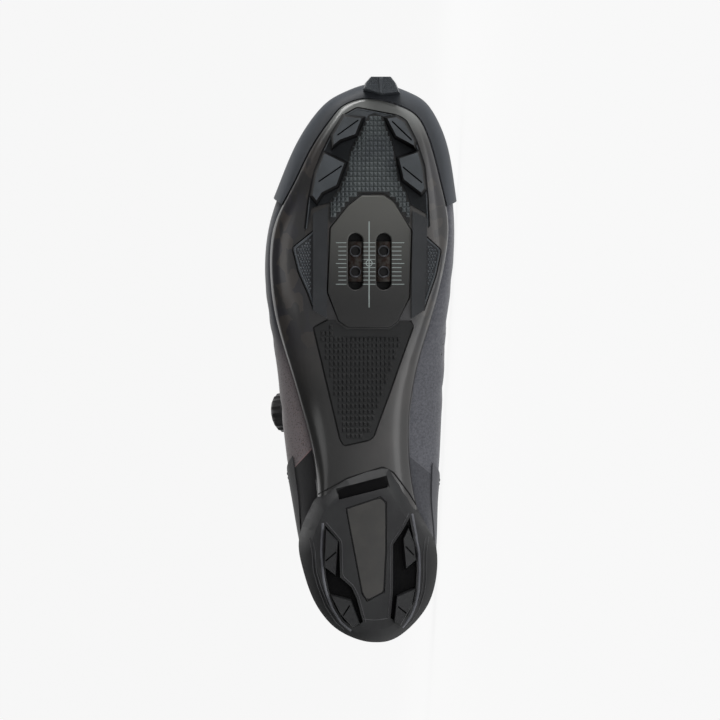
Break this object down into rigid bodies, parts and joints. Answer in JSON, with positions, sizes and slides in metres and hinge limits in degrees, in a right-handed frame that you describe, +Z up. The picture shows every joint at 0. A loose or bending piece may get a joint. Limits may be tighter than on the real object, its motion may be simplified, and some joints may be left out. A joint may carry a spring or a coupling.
{
  "type": "cycling shoe",
  "caption": "Cycling shoe with a stiff lugged sole, slotted cleat plate, rubber heel and toe guard, hollow upper and a lace dial.",
  "frame": {"origin": "bottom centre of the bounding box, on the floor under the shoe as it lies on its medial side", "axes": "+X towards the toe, -Y the way the sole faces, +Z up, from the medial side to the lateral side"},
  "size_m": [0.2816, 0.099, 0.0942],
  "materials": {
    "carbon": "gloss",
    "rubber": "matte",
    "guard": "satin",
    "plate": "satin",
    "nut_steel": "satin",
    "upper_skin": "matte",
    "panel": "satin",
    "lining": "matte",
    "dial_plastic": "satin",
    "lace": "satin"
  },
  "bodies": {
    "root": {"sole_plate": "carbon", "forefoot_tread": "rubber", "front_grip_pad": "rubber", "wing_lateral": "rubber", "wing_medial": "rubber", "arch_inlay": "rubber", "cleat_plate": "plate", "nut_bar_lateral": "nut_steel", "nut_bar_medial": "nut_steel", "heel_tread": "rubber", "heel_inlay": "plate", "toe_guard": "guard", "toe_stud": "rubber", "upper": "upper_skin", "heel_counter": "panel", "eyestay": "panel", "lace_guide_lateral_1": "lace", "lace_guide_lateral_2": "lace", "lace_guide_lateral_3": "lace", "lace_guide_medial_1": "lace", "lace_guide_medial_2": "lace", "lace_guide_medial_3": "lace", "collar_pad": "lining", "tongue": "lining", "insole": "lining", "dial_base": "dial_plastic", "dial_knob": "dial_plastic", "lace_wire": "lace"}
  },
  "joints": []
}
